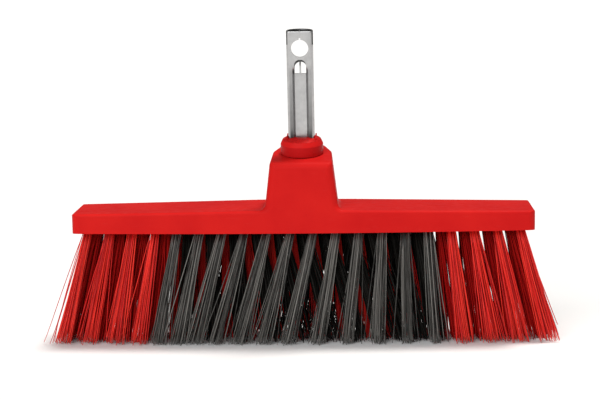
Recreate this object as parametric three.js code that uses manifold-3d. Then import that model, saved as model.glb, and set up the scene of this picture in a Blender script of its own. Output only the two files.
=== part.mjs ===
// Push broom head: a moulded head board with a neck, a collar, a folded steel shank that a
// quick-change handle clips onto, one fixing screw, and five rows of bristle tufts.
// Millimetres, +Z up, X along the board, the front of the broom faces -Y. The floor is z = 0,
// and the origin lies under the middle of the board.

import * as THREE from 'three';
import { mergeVertices } from 'three/addons/utils/BufferGeometryUtils.js';
import Module from 'manifold-3d';

// ---------------------------------------------------------------- driving dimensions

// Head board
const board_length = 380;
const board_depth = 56;         // front to back at the two ends
const front_bow = 7;            // how far the middle of the front stands ahead of its ends
const board_end_height = 16.2;
const board_crown = 3.2;        // extra height at the middle of the board
const board_edge_radius = 2.5;  // along the two long top edges
const board_corner_radius = 6;  // the four upright corners, seen from above

// Bristle tufts
const bristle_length = 95;      // underside of the board to the floor
const tufts_in_long_row = 20;   // odd rows; even rows sit between them and have one fewer
const tufts_in_block = 4;
const red_columns = 4;          // red tufts at each end of every row
const red_row = 3;              // the row that is red all the way
const tuft_end_margin = 12.2;  // a board end to the middle of its first tuft, in an odd row
const row_pitch = 10;
const tip_row_pitch = 11;
const short_row_spread = 3.6;   // added between a shorter row's two end tufts
const tuft_radius = 3.5;
const tuft_sides = 8;
const tuft_socket_depth = 10;
const end_splay = 29;           // outward lean by the floor, of a tuft at the board's very end
const row_slant = 24;           // how far the middle tufts lean sideways
const lean_of_row = [-1, 1, 0.2, -1, 1];   // each row's share, left or right, from the front
const row_count = lean_of_row.length;
const slant_fade = 3.5;         // how fast that lean dies away towards the ends of a row
const slant_skew = 1.2;         // how much stronger it is on the side it leans to
const tip_overlap = 1.5;        // how far the tips of one block mix

// Neck
const neck_height = 58;         // underside of the board to the front edge of the neck's top
const neck_front_width = 51;    // at the top
const neck_side_width = 48.5;   // where the sides end and the rear corners are cut off
const neck_rear_width = 36;
const neck_side_end = 9;        // Y of that place
const neck_rear_inset = 1;      // the neck's back stands this far inside the board's back
const neck_draft = 0.12;        // widening per side for each millimetre downwards
const neck_edge_radius = 2.5;
const neck_front_corner = 6;
const neck_rear_corner = 9;
const neck_fillet = 5;
const shank_tilt = THREE.MathUtils.degToRad(7);   // the shank and the neck's top lean forward

// Collar
const collar_overhang = 2.6;    // the collar's wall stands this far outside the spigot
const collar_wall_height = 8.2;
const collar_chamfer = 3.6;
const collar_cone_rise = 2.8;     // from the chamfer's top edge to the axis
const spigot_wall = 2.1;        // between the shank's front corners and the spigot's outside
const spigot_length = 14;
const rib_height = 7.6;         // above the collar's wall
const rib_thickness = 1.3;
const rib_depth = 17;

// Shank, folded from one steel sheet
const shank_width = 21.7;
const shank_depth = 14;
const shank_sheet = 1.5;
const shank_above_seat = 103;   // the neck's top to the shank's top, along the shank
const shank_below_screw = 14;
const shank_corner_radius = 2.5;
const shank_flank = 3.5;        // straight part of each side, behind the front corner
const latch_hole_radius = 7;
const latch_hole_land = 7;      // sheet above the hole
const window_land = 2.2;        // sheet between the hole and the window
const window_width = 9.8;
const window_height = 12;
const back_hole_extra = 1.8;    // how much larger the hole's radius is in the back of the fold
const back_window_drop = 4;     // how much lower the window is in the back of the fold
const groove_floor = 9.4;       // width of the groove's flat floor
const groove_side_run = 1.55;   // width of each of its sloping sides
const groove_depth = 3.5;
const web_thickness = 1;
const groove_side_inset = 0.9;  // how far the sides' inner face stands off, in sheet thicknesses
const seam_width = 0.4;
const seam_depth = 0.6;
const seam_notch = 1.4;
const side_step_height = 11.2;
const side_step_width = 0.95;
const side_step_depth = 3.4;

// Fixing screw, in from the back of the neck
const screw_radius = 2;
const screw_head_radius = 4;
const screw_head_height = 2.6;
const screw_below_spigot = 6;
const screw_sink = 2.4;         // the head lies this far inside the neck's back
const screw_bite = 4;           // length of screw inside the shank

// Clearances
const touch_gap = 0.3;
const tip_gap = 0.3;

// ---------------------------------------------------------------- values worked out from them

const board_underside = bristle_length;
const board_back = (board_depth + front_bow) / 2;
const neck_front = -board_back;
const neck_rear = board_back - neck_rear_inset;
const neck_front_top = board_underside + neck_height;
const seat_z = neck_front_top - neck_front * Math.tan(shank_tilt);
const tuft_pitch = (board_length - 2 * tuft_end_margin) / (tufts_in_long_row - 1);
const tuft_turn = Math.PI / tuft_sides;   // puts a flat side, not an edge, towards each neighbour
const spigot_radius = Math.hypot(shank_width, shank_depth) / 2 + spigot_wall;
const collar_radius = spigot_radius + collar_overhang;
const collar_seat = touch_gap;
const collar_rim = collar_seat + collar_wall_height;
const screw_below_seat = spigot_length + screw_below_spigot;
const shank_top = shank_above_seat;
const shank_foot = -(screw_below_seat + shank_below_screw);
const latch_hole_z = shank_top - latch_hole_land - latch_hole_radius;
const window_top = latch_hole_z - latch_hole_radius - window_land;
const window_foot = window_top - window_height;
const groove_top = window_top - window_width / 2;

const wasm = await Module();
wasm.setup();

// ---------------------------------------------------------------- helpers

// A closed three.js geometry, as a solid that can be joined and cut.
function solid(geometry) {
  const bare = geometry.index ? geometry.toNonIndexed() : geometry.clone();
  bare.deleteAttribute('normal');
  bare.deleteAttribute('uv');
  const merged = mergeVertices(bare, 1e-4);
  const vertProperties = new Float32Array(merged.attributes.position.array);
  const triVerts = new Uint32Array(merged.index.array);
  return new wasm.Manifold(new wasm.Mesh({ numProp: 3, vertProperties, triVerts }));
}

// A solid, back as a three.js geometry.
function geometryOf(manifold) {
  const mesh = manifold.getMesh();
  const geometry = new THREE.BufferGeometry();
  geometry.setAttribute('position', new THREE.BufferAttribute(mesh.vertProperties, 3));
  geometry.setIndex(new THREE.BufferAttribute(mesh.triVerts, 1));
  return geometry;
}

// Moves every vertex of a geometry to where place(point) puts it.
function reshape(geometry, place) {
  const position = geometry.attributes.position;
  const point = new THREE.Vector3();
  for (let i = 0; i < position.count; i += 1) {
    point.fromBufferAttribute(position, i);
    place(point);
    position.setXYZ(i, point.x, point.y, point.z);
  }
  return geometry;
}

// A box given by its lowest and highest corners.
function boxBetween(low, high) {
  const size = high.map((value, axis) => value - low[axis]);
  const middle = high.map((value, axis) => (value + low[axis]) / 2);
  return solid(new THREE.BoxGeometry(...size).translate(...middle));
}

// A cylinder along Y between two places, about (x, z).
function cylinderAlongY(radius, y_start, y_end, z, sides) {
  const geometry = new THREE.CylinderGeometry(radius, radius, y_end - y_start, sides);
  return solid(geometry.translate(0, (y_start + y_end) / 2, z));
}

// A closed outline through corner points [x, y, radius], each corner rounded.
function roundedOutline(corners) {
  const shape = new THREE.Shape();
  const count = corners.length;
  corners.forEach(([x, y, radius], i) => {
    const corner = new THREE.Vector2(x, y);
    const before = new THREE.Vector2(...corners[(i + count - 1) % count]);
    const after = new THREE.Vector2(...corners[(i + 1) % count]);
    const start = before.sub(corner).setLength(radius).add(corner);
    const end = after.sub(corner).setLength(radius).add(corner);
    if (i === 0) shape.moveTo(start.x, start.y);
    else shape.lineTo(start.x, start.y);
    shape.quadraticCurveTo(x, y, end.x, end.y);
  });
  shape.closePath();
  return shape;
}

function mesh(name, geometry, material) {
  const piece = new THREE.Mesh(geometry, material);
  piece.name = name;
  return piece;
}

// ---------------------------------------------------------------- materials

const red_plastic = new THREE.MeshStandardMaterial({ color: 0xc81e20, roughness: 0.42, metalness: 0 });
const dark_red_plastic = new THREE.MeshStandardMaterial({ color: 0xa81d1f, roughness: 0.45, metalness: 0 });
const zinc_steel = new THREE.MeshStandardMaterial({ color: 0xb9bcbe, roughness: 0.35, metalness: 1 });
const screw_steel = new THREE.MeshStandardMaterial({ color: 0x9a9c9e, roughness: 0.4, metalness: 1 });
const red_bristle = new THREE.MeshStandardMaterial({ color: 0xc8181a, roughness: 0.5, metalness: 0 });
const black_bristle = new THREE.MeshStandardMaterial({ color: 0x1c1916, roughness: 0.5, metalness: 0 });

// ---------------------------------------------------------------- head board

// How far the front of the board, or a row that follows it, stands ahead of its own ends.
function bowAt(x, bow) {
  const share = Math.min(Math.abs(x) / (board_length / 2), 1);
  return bow * (1 - share * share);
}

function crownAt(x) {
  return board_crown * (1 - Math.abs(x) / (board_length / 2));
}

// How much of its depth the board has lost to its rounded corners, at x.
function cornerInset(x) {
  const into_corner = Math.abs(x) - (board_length / 2 - board_corner_radius);
  if (into_corner <= 0) return 0;
  return board_corner_radius - Math.sqrt(Math.max(board_corner_radius ** 2 - into_corner ** 2, 0));
}

// A section in Y and Z carried along X, then bowed, crowned and rounded at its corners.
function headBoard() {
  const half_depth = board_depth / 2;
  const section = roundedOutline([
    [-half_depth, 0, 0.4],
    [half_depth, 0, 0.4],
    [half_depth, board_end_height, board_edge_radius],
    [-half_depth, board_end_height, board_edge_radius],
  ]);
  const steps = 40;
  const options = { depth: 2, steps, bevelEnabled: false, curveSegments: 4 };
  const geometry = new THREE.ExtrudeGeometry(section, options);
  return solid(reshape(geometry, (point) => {
    const share = point.z - 1;                       // -1 at one end, +1 at the other
    const x = Math.sign(share) * (1 - (1 - Math.abs(share)) ** 2) * (board_length / 2);
    const depth_share = 1 - cornerInset(x) / half_depth;
    const to_front = (1 - point.x / half_depth) / 2;
    const y = point.x * depth_share + front_bow / 2 - bowAt(x, front_bow) * to_front;
    const upper = point.y > board_end_height / 2;
    point.set(x, y, board_underside + point.y + (upper ? crownAt(x) : 0));
  }));
}

// ---------------------------------------------------------------- neck

// The neck's outline from above at its top, carried down with draft and a flared foot.
function neckBlock() {
  const half = [[neck_front_width / 2, neck_front, neck_front_corner],
    [neck_side_width / 2, neck_side_end, neck_front_corner],
    [neck_rear_width / 2, neck_rear, neck_rear_corner]];
  const mirrored = half.map(([x, y, radius]) => [-x, y, radius]).reverse();
  const outline = roundedOutline([...half, ...mirrored]);
  const foot = board_underside + board_end_height / 2;
  const straight = neck_front_top - neck_edge_radius - foot;
  const options = {
    depth: straight, steps: 12, curveSegments: 4,
    bevelEnabled: true, bevelThickness: neck_edge_radius, bevelSize: neck_edge_radius,
    bevelOffset: -neck_edge_radius, bevelSegments: 4,
  };
  const geometry = new THREE.ExtrudeGeometry(outline, options).translate(0, 0, foot);
  const board_top = board_underside + board_end_height + board_crown;
  return solid(reshape(geometry, (point) => {
    const above_board = Math.max(point.z - board_top, 0);
    const into_fillet = Math.max(neck_fillet - above_board, 0);
    const flare = neck_fillet - Math.sqrt(neck_fillet ** 2 - into_fillet ** 2);
    const widening = neck_draft * (neck_front_top - point.z) + flare;
    const side_share = point.x / (neck_front_width / 2);
    const rise = Math.max(point.z - board_top, 0) / (neck_front_top - board_top);
    point.x += side_share * widening;
    point.z += rise * (point.y - neck_front) * Math.tan(shank_tilt);
  }));
}

// ---------------------------------------------------------------- the shank's section

// The shank's outline, front at -Y: flat front, rounded front corners, bowed back.
// inset moves the whole outline inwards; a negative inset gives the clearance around it.
function shankOutline(inset, grooved) {
  const half_width = shank_width / 2 - inset;
  const front = -shank_depth / 2 + inset;
  const corner = Math.max(shank_corner_radius - inset, 0.6);
  const flank_end = -shank_depth / 2 + shank_corner_radius + shank_flank;
  const shape = new THREE.Shape();
  shape.moveTo(-half_width, flank_end);
  shape.lineTo(-half_width, front + corner);
  shape.quadraticCurveTo(-half_width, front, -half_width + corner, front);
  if (grooved) {
    const floor = groove_floor / 2 + inset * groove_side_inset;
    const mouth = floor + groove_side_run;
    shape.lineTo(-mouth, front);
    shape.lineTo(-floor, front + groove_depth);
    shape.lineTo(floor, front + groove_depth);
    shape.lineTo(mouth, front);
  }
  shape.lineTo(half_width - corner, front);
  shape.quadraticCurveTo(half_width, front, half_width, front + corner);
  shape.lineTo(half_width, flank_end);
  const back = shank_depth / 2 - inset - flank_end;
  shape.absellipse(0, flank_end, half_width, back, 0, Math.PI, false, 0);
  return shape;
}

function shankLength(inset, grooved, z_start, z_end) {
  const options = { depth: z_end - z_start, steps: 1, bevelEnabled: false, curveSegments: 8 };
  const geometry = new THREE.ExtrudeGeometry(shankOutline(inset, grooved), options);
  return solid(geometry.translate(0, 0, z_start));
}

// The whole space that the shank takes, with a clearance, for the pieces it passes through.
function shankSpace(z_start, z_end) {
  return shankLength(-touch_gap, false, z_start, z_end);
}

// An upright slot with a round top between two heights, cut along Y from y_start.
function windowCut(foot, top, y_start, y_length) {
  const half = window_width / 2;
  const shape = new THREE.Shape();
  shape.moveTo(-half, foot);
  shape.lineTo(half, foot);
  shape.absarc(0, top - half, half, 0, Math.PI, false);
  shape.closePath();
  const options = { depth: y_length, bevelEnabled: false, curveSegments: 8 };
  const geometry = new THREE.ExtrudeGeometry(shape, options);
  return solid(geometry.rotateX(Math.PI / 2).translate(0, y_start + y_length, 0));
}

function foldedShank() {
  const past = 1;
  const front = -shank_depth / 2;
  const plain = shankLength(0, false, groove_top - past, shank_top);
  const plain_hollow = shankLength(shank_sheet, false, groove_top - 2 * past, shank_top + past);
  const grooved = shankLength(0, true, shank_foot, groove_top);
  const grooved_hollow = shankLength(shank_sheet, true, shank_foot - past, groove_top + past);
  const web_front = front + shank_sheet / 2;
  const web_back = shank_depth / 2 - shank_sheet - past;
  const web = boxBetween([-web_thickness / 2, web_front, window_foot - past],
    [web_thickness / 2, web_back, shank_top]);
  const latch_hole = cylinderAlongY(latch_hole_radius, -shank_depth, shank_depth, latch_hole_z, 28);
  const back_hole = cylinderAlongY(latch_hole_radius + back_hole_extra, 0, shank_depth,
    latch_hole_z - back_hole_extra, 28);
  const window = windowCut(window_foot, window_top, -shank_depth, shank_depth);
  const back_window = windowCut(window_foot - back_window_drop, window_top - back_window_drop,
    0, shank_depth);
  const hole_top = latch_hole_z + latch_hole_radius;
  const hole_notch = boxBetween([-seam_notch / 2, front - past, hole_top - past],
    [seam_notch / 2, shank_depth / 4, hole_top + seam_notch]);
  const seam = boxBetween([-seam_width / 2, front - past, hole_top],
    [seam_width / 2, front + seam_depth, shank_top + past]);
  const seam_end = solid(new THREE.BoxGeometry(seam_notch, shank_sheet, seam_notch)
    .rotateY(Math.PI / 4).translate(0, front, shank_top));
  const screw_hole = cylinderAlongY(screw_radius + touch_gap, 0, shank_depth, -screw_below_seat, 12);
  const step_x = shank_width / 2 - side_step_width;
  const side_steps = [-1, 1].map((side) => boxBetween(
    [side < 0 ? -shank_width : step_x, front - past, shank_top - side_step_height],
    [side < 0 ? -step_x : shank_width, front + side_step_depth, shank_top + past]));
  let shank = plain.subtract(plain_hollow).add(grooved.subtract(grooved_hollow));
  shank = shank.subtract(window).subtract(back_window).subtract(back_hole).add(web);
  for (const cut of [latch_hole, hole_notch, seam, seam_end, screw_hole, ...side_steps]) {
    shank = shank.subtract(cut);
  }
  return shank;
}

// ---------------------------------------------------------------- collar

// A ring with a chamfered top edge and a low cone, on a round spigot, with the shank's slot
// through it and a rib beside each flank of the shank.
function collarRing() {
  const inner_rim = collar_radius - collar_chamfer;
  const chamfer_top = collar_rim + collar_chamfer;
  const profile = [
    [0, -spigot_length], [spigot_radius, -spigot_length], [spigot_radius, collar_seat],
    [collar_radius, collar_seat], [collar_radius, collar_rim], [inner_rim, chamfer_top],
    [0, chamfer_top + collar_cone_rise],
  ].map(([radius, z]) => new THREE.Vector2(radius, z));
  let collar = solid(new THREE.LatheGeometry(profile, 40).rotateX(Math.PI / 2));
  const inner = shank_width / 2;
  for (const side of [-1, 1]) {
    const outer = inner + touch_gap + rib_thickness;
    const low = [side < 0 ? -outer : inner, -rib_depth / 2, collar_rim];
    const high = [side < 0 ? -inner : outer, rib_depth / 2, collar_rim + rib_height];
    collar = collar.add(boxBetween(low, high));
  }
  return collar.subtract(shankSpace(-spigot_length - 1, collar_rim + shank_depth));
}

// ---------------------------------------------------------------- screw

// The back face of the neck, in the shank's own leaning frame, at the screw's height.
const neck_rear_at_screw = neck_rear / Math.cos(shank_tilt)
  - screw_below_seat * Math.tan(shank_tilt);
const screw_head_back = neck_rear_at_screw - screw_sink;
const screw_head_front = screw_head_back - screw_head_height;
const screw_tip = shank_depth / 2 - screw_bite;

function fixingScrew() {
  const body = cylinderAlongY(screw_radius, screw_tip, screw_head_front + 1, -screw_below_seat, 12);
  const head = cylinderAlongY(screw_head_radius, screw_head_front, screw_head_back, -screw_below_seat, 24);
  const slot_reach = screw_head_radius * 0.6;
  const slot_half = screw_radius * 0.25;
  const slot_floor = screw_head_back - screw_head_height / 2;
  const slots = [[slot_reach, slot_half], [slot_half, slot_reach]].map(([x, z]) => boxBetween(
    [-x, slot_floor, -screw_below_seat - z], [x, screw_head_back + 1, -screw_below_seat + z]));
  return body.add(head).subtract(slots[0]).subtract(slots[1]);
}

// ---------------------------------------------------------------- tufts

// Y of a row at x: the front row follows the bowed front, the back row is straight.
function rowY(row, x, pitch) {
  const from_middle = row - (row_count + 1) / 2;
  const to_front = (row_count - row) / (row_count - 1);
  return from_middle * pitch + (front_bow - bowAt(x, front_bow)) * to_front;
}

// The distance between two rows at x.
function rowSpacing(x, pitch) {
  return pitch - (front_bow - bowAt(x, front_bow)) / (row_count - 1);
}

function tuftsInRow(row) {
  return row % 2 === 1 ? tufts_in_long_row : tufts_in_long_row - 1;
}

// The shorter rows, which sit between the longer ones' tufts, are spread a little wider.
function rootX(row, column) {
  const gaps = tuftsInRow(row) - 1;
  const pitch = row % 2 === 1 ? tuft_pitch : tuft_pitch + short_row_spread / gaps;
  return (column - gaps / 2) * pitch;
}

// Where a tuft's middle meets the floor: end tufts splay outwards, and in the middle each
// row leans to its own side.
function tipX(row, column) {
  const x = rootX(row, column);
  const board_share = x / (board_length / 2);
  const lean_side = lean_of_row[row - 1];
  const row_share = x / rootX(row, tuftsInRow(row) - 1);
  const slant_share = (1 - row_share ** 2) ** slant_fade * (1 + lean_side * slant_skew * row_share);
  return x + end_splay * board_share * Math.abs(board_share) + lean_side * row_slant * slant_share;
}

// One tuft as an eight-sided prism: straight in its socket, then widening to the floor, where
// it fills its share of the row between tip_left and tip_right.
function tuft(row, column, tip_left, tip_right) {
  const flat_share = 1 / Math.cos(tuft_turn);
  const geometry = new THREE.CylinderGeometry(1, 1, 2, tuft_sides, 2, false, tuft_turn);
  geometry.rotateX(Math.PI / 2);
  const x = rootX(row, column);
  const root_y = rowY(row, x, row_pitch);
  const tip_middle = (tip_left + tip_right) / 2;
  const tip_half_width = (tip_right - tip_left) / 2 * flat_share;
  const socket_end = board_underside + tuft_socket_depth - touch_gap;
  return solid(reshape(geometry, (point) => {
    if (point.z < -0.5) {
      const tip_x = tip_middle + point.x * tip_half_width;
      const half_depth = (rowSpacing(tip_x, tip_row_pitch) / 2 - tip_gap) * flat_share;
      point.set(tip_x, rowY(row, tip_x, tip_row_pitch) + point.y * half_depth, 0);
    } else {
      const z = point.z > 0.5 ? socket_end : board_underside - 1;
      point.set(x + point.x * tuft_radius, root_y + point.y * tuft_radius, z);
    }
  }));
}

// The floor line between two neighbours of one row.
function tipBoundary(row, column) {
  const last = tuftsInRow(row) - 1;
  if (column < 0) return 1.5 * tipX(row, 0) - 0.5 * tipX(row, 1);
  if (column >= last) return 1.5 * tipX(row, last) - 0.5 * tipX(row, last - 1);
  return (tipX(row, column) + tipX(row, column + 1)) / 2;
}

// The columns of a row, cut into blocks that never mix the two colours.
function blocksOf(row) {
  const count = tuftsInRow(row);
  const cuts = [0];
  for (let column = red_columns; column < count - red_columns; column += tufts_in_block) {
    cuts.push(column);
  }
  cuts.push(count - red_columns, count);
  return cuts.slice(0, -1).map((start, i) => ({ start, end: cuts[i + 1] }));
}

function tuftBlock(row, { start, end }) {
  const tufts = [];
  for (let column = start; column < end; column += 1) {
    const inner_left = column > start ? -tip_overlap / 2 : tip_gap / 2;
    const inner_right = column < end - 1 ? tip_overlap / 2 : -tip_gap / 2;
    const left = tipBoundary(row, column - 1) + inner_left;
    const right = tipBoundary(row, column) + inner_right;
    tufts.push(tuft(row, column, left, right));
  }
  return wasm.Manifold.union(tufts);
}

// Eight-sided sockets in the board's underside, one for each tuft.
function tuftSockets() {
  const sockets = [];
  for (let row = 1; row <= row_count; row += 1) {
    for (let column = 0; column < tuftsInRow(row); column += 1) {
      const x = rootX(row, column);
      const radius = tuft_radius + touch_gap;
      const height = tuft_socket_depth + 1;
      const geometry = new THREE.CylinderGeometry(radius, radius, height, tuft_sides, 1, false, tuft_turn);
      geometry.rotateX(Math.PI / 2);
      geometry.translate(x, rowY(row, x, row_pitch), board_underside + height / 2 - 1);
      sockets.push(solid(geometry));
    }
  }
  return wasm.Manifold.union(sockets);
}

// ---------------------------------------------------------------- head: board, neck, bores

// Turns a solid of the shank's leaning frame into the broom's frame.
function fromShankFrame(manifold) {
  const degrees = THREE.MathUtils.radToDeg(shank_tilt);
  return manifold.rotate([degrees, 0, 0]).translate([0, 0, seat_z]);
}

function head() {
  const past = 6;
  const bore = solid(new THREE.CylinderGeometry(spigot_radius + touch_gap, spigot_radius + touch_gap,
    spigot_length + touch_gap + past, 40).rotateX(Math.PI / 2)
    .translate(0, 0, (past - spigot_length - touch_gap) / 2));
  const pocket = shankSpace(shank_foot - touch_gap, 1);
  const screw_way = cylinderAlongY(screw_radius + touch_gap, 0, neck_rear_at_screw + past,
    -screw_below_seat, 12);
  const screw_head_way = cylinderAlongY(screw_head_radius + touch_gap, screw_head_front - touch_gap,
    neck_rear_at_screw + past, -screw_below_seat, 24);
  let body = headBoard().add(neckBlock());
  for (const cut of [bore, pocket, screw_way, screw_head_way]) {
    body = body.subtract(fromShankFrame(cut));
  }
  return body.subtract(tuftSockets());
}

// ---------------------------------------------------------------- assembly

const group = new THREE.Group();
group.add(mesh('head', geometryOf(head()), red_plastic));

const leaning = new THREE.Group();
leaning.position.set(0, 0, seat_z);
leaning.rotation.x = shank_tilt;
leaning.add(mesh('collar', geometryOf(collarRing()), dark_red_plastic));
leaning.add(mesh('shank', geometryOf(foldedShank()), zinc_steel));
leaning.add(mesh('shank_screw', geometryOf(fixingScrew()), screw_steel));
group.add(leaning);

for (let row = 1; row <= row_count; row += 1) {
  blocksOf(row).forEach((block, i) => {
    const at_end = block.start < red_columns || block.end > tuftsInRow(row) - red_columns;
    const material = at_end || row === red_row ? red_bristle : black_bristle;
    const name = `tufts_row_${row}_block_${i + 1}`;
    group.add(mesh(name, geometryOf(tuftBlock(row, block)), material));
  });
}

export default group;
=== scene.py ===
"""A push broom head: moulded red head with neck, collar, folded zinc steel shank, fixing screw
and five rows of red and black bristle tufts. Shapes are worked out in millimetres."""

import math

import bmesh
import bpy
import numpy as np
from mathutils import Matrix, Vector


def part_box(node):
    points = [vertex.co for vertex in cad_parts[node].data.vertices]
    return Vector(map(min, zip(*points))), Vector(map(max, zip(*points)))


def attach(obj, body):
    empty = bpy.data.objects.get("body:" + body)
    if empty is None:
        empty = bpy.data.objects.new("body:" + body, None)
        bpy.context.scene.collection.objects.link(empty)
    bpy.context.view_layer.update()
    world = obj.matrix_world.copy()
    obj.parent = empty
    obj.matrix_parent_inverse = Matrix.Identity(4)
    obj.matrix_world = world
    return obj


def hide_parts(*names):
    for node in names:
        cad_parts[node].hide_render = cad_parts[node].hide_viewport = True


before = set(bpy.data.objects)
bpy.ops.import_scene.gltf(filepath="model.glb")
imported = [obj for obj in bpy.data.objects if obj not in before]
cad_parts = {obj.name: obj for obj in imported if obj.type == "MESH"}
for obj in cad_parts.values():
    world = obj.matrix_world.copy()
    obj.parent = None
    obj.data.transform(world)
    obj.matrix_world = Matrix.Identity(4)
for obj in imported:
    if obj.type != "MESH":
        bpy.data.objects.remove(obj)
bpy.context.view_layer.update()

# ---------------------------------------------------------------- sizes, in millimetres

MM = 0.001
head_low, head_high = [np.array(corner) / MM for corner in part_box("head")]

board_half_length = head_high[0]
board_front = head_low[1]
board_back = head_high[1]
board_underside = head_low[2]
front_bow = 7.0
board_end_height = 16.2
board_crown = 3.2
board_edge_radius = 2.5
board_edge_reach = 4.0
board_corner_radius = 6.0
board_end_round = 1.7
board_under_radius = 0.6
least_round = 0.3

neck_height = 58.0
neck_front_half = 25.5
neck_side_half = 24.25
neck_rear_half = 18.0
neck_side_end = 9.0
neck_rear_inset = 1.0
neck_draft = 0.12
neck_corner_radius = 5.5
neck_top_radius = 5.5
neck_shoulder_round = 2.2
neck_fillet = 5.5
neck_fillet_gain = 2.0

shank_tilt = math.radians(7.0)
seat_z = board_underside + neck_height - board_front * math.tan(shank_tilt)

collar_radius = 17.6
collar_foot = 0.3
spigot_radius = 15.0
spigot_foot = -14.0
collar_rim = 8.5
collar_rim_bevel = 0.9
collar_band_top = 12.5
collar_band_radius = 15.8
collar_cap = 15.1
collar_hollow = 1.2
rib_thickness = 1.1
rib_depth = 17.0
rib_height = 7.4
rib_round = 1.4

shank_half_width = 10.85
shank_half_depth = 7.0
shank_sheet = 1.5
shank_top = 103.0
shank_foot = -34.0
shank_corner = 2.5
shank_flank = 3.5
shank_flank_end = shank_corner + shank_flank - shank_half_depth
rim_round = 0.35
groove_half_floor = 4.7
groove_side_run = 1.55
groove_depth = 3.5
shoulder_fall = 0.5
groove_top = 72.9
groove_run_out = 5.0
latch_radius = 7.0
latch_z = 89.0
back_latch_extra = 1.8
window_half_width = 4.9
window_top = 79.8
window_foot = 67.8
back_window_drop = 4.0
web_thickness = 1.0
seam_width = 0.4
seam_depth = 0.6
seam_notch = 1.4
step_height = 11.2
step_width = 0.95
step_depth = 3.4

screw_radius = 2.0
screw_head_radius = 4.0
screw_head_height = 2.6
screw_z = -20.0
screw_tip = 3.0
screw_head_back = 26.0
cross_depth = 1.4
clearance = 0.3

row_count = 5
long_row = 20
tufts_in_block = 4
red_columns = 4
red_row = 3
tuft_pitch = 18.716
short_row_spread = 3.6
row_pitch = 10.0
tip_row_pitch = 11.0
tuft_radius = 3.8
inner_tuft_radius = 4.9
red_row_radius = 2.2
end_splay = 29.0
row_slant = 24.0
lean_of_row = (-1, 1, 0.2, -1, 1)
slant_fade = 3.5   # how quickly the slant dies away from the middle to the ends
slant_skew = 1.2   # how much further the slant reaches on the side it leans to
bristles_in_tuft = 42
bristle_radius = 0.47
bristle_start = board_underside + 1.5
bristle_foot = 0.3
outer_tip_radius = 5.6
end_tip_radius = 7.6
inner_tip_radius = 8.2
usual_wander, stray_wander, most_wander = 0.9, 8.0, 8.0   # tips, along the row
usual_scatter, stray_scatter = 0.7, 3.0                   # tips, across the row
usual_shortness, most_shortness = 1.1, 5.0
spot_of_row = ("outer", "inner", "middle", "inner", "outer")

floor_reach = 60000.0

# the camera looks at its target from this distance, both in metres
camera_azimuth = math.radians(2.405)
camera_elevation = math.radians(9.093)
camera_roll = math.radians(-0.911)
camera_target = Vector((-0.002345, 0, 0.117736))
camera_distance = 1.30313
camera_lens = 94.11

# ---------------------------------------------------------------- mesh making


def grid_quads(rows, columns, rows_closed=False, columns_closed=False):
    """Quads joining each point of a grid to its next row and next column."""
    row = np.arange(rows if rows_closed else rows - 1)[:, None]
    column = np.arange(columns if columns_closed else columns - 1)[None, :]
    next_row = (row + 1) % rows
    next_column = (column + 1) % columns
    corners = (row * columns + column, row * columns + next_column,
               next_row * columns + next_column, next_row * columns + column)
    return np.stack(np.broadcast_arrays(*corners), axis=-1).reshape(-1, 4)


def mesh_of(name, points, quads):
    """A mesh from points in millimetres and quads."""
    mesh = bpy.data.meshes.new(name)
    mesh.vertices.add(len(points))
    mesh.vertices.foreach_set("co", (points * MM).astype(np.float32).ravel())
    mesh.loops.add(quads.size)
    mesh.loops.foreach_set("vertex_index", quads.astype(np.int32).ravel())
    mesh.polygons.add(len(quads))
    mesh.polygons.foreach_set("loop_start", np.arange(0, quads.size, 4, dtype=np.int32))
    mesh.update(calc_edges=True)
    return mesh


def welded(mesh, merge=0.002, turn_outwards=False):
    """Merges points closer than a distance, and may turn every face outwards."""
    work = bmesh.new()
    work.from_mesh(mesh)
    bmesh.ops.remove_doubles(work, verts=work.verts, dist=merge * MM)
    if turn_outwards:
        bmesh.ops.recalc_face_normals(work, faces=work.faces)
    work.to_mesh(mesh)
    work.free()
    mesh.update()
    return mesh


def close_up(mesh, merge=0.002):
    """Welds seams and poles, and points every face outwards."""
    return welded(mesh, merge, turn_outwards=True)


def place(name, mesh, material, slot_name, *cad_nodes, sharp=40.0):
    """Puts a finished mesh into the scene as a piece that stands for CAD nodes."""
    mesh.shade_smooth()
    mesh.set_sharp_from_angle(angle=math.radians(sharp))
    mesh.materials.clear()
    mesh.materials.append(material)
    piece = bpy.data.objects.new(name, mesh)
    bpy.context.scene.collection.objects.link(piece)
    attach(piece, "root")
    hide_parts(*cad_nodes)


def cut_away(mesh, cutters, operation="DIFFERENCE"):
    """The mesh with every cutter taken out of it, or joined to it."""
    body = bpy.data.objects.new("being_cut", mesh)
    bpy.context.scene.collection.objects.link(body)
    tools = []
    for cutter in cutters:
        tool = bpy.data.objects.new("cutter", cutter)
        bpy.context.scene.collection.objects.link(tool)
        tools.append(tool)
        step = body.modifiers.new("cut", "BOOLEAN")
        step.operation = operation
        step.solver = "MANIFOLD"
        step.object = tool
    bpy.context.view_layer.update()
    result = bpy.data.meshes.new_from_object(
        body.evaluated_get(bpy.context.evaluated_depsgraph_get()))
    for done in [body, *tools]:
        bpy.data.objects.remove(done)
    return welded(result)


def leaning(points):
    """Points of the shank's leaning frame, in the broom's frame: turned by the tilt about X and
    raised to the seat."""
    cosine, sine = math.cos(shank_tilt), math.sin(shank_tilt)
    x, y, z = points[..., 0], points[..., 1], points[..., 2]
    return np.stack([x, cosine * y - sine * z, sine * y + cosine * z + seat_z], axis=-1)


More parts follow.
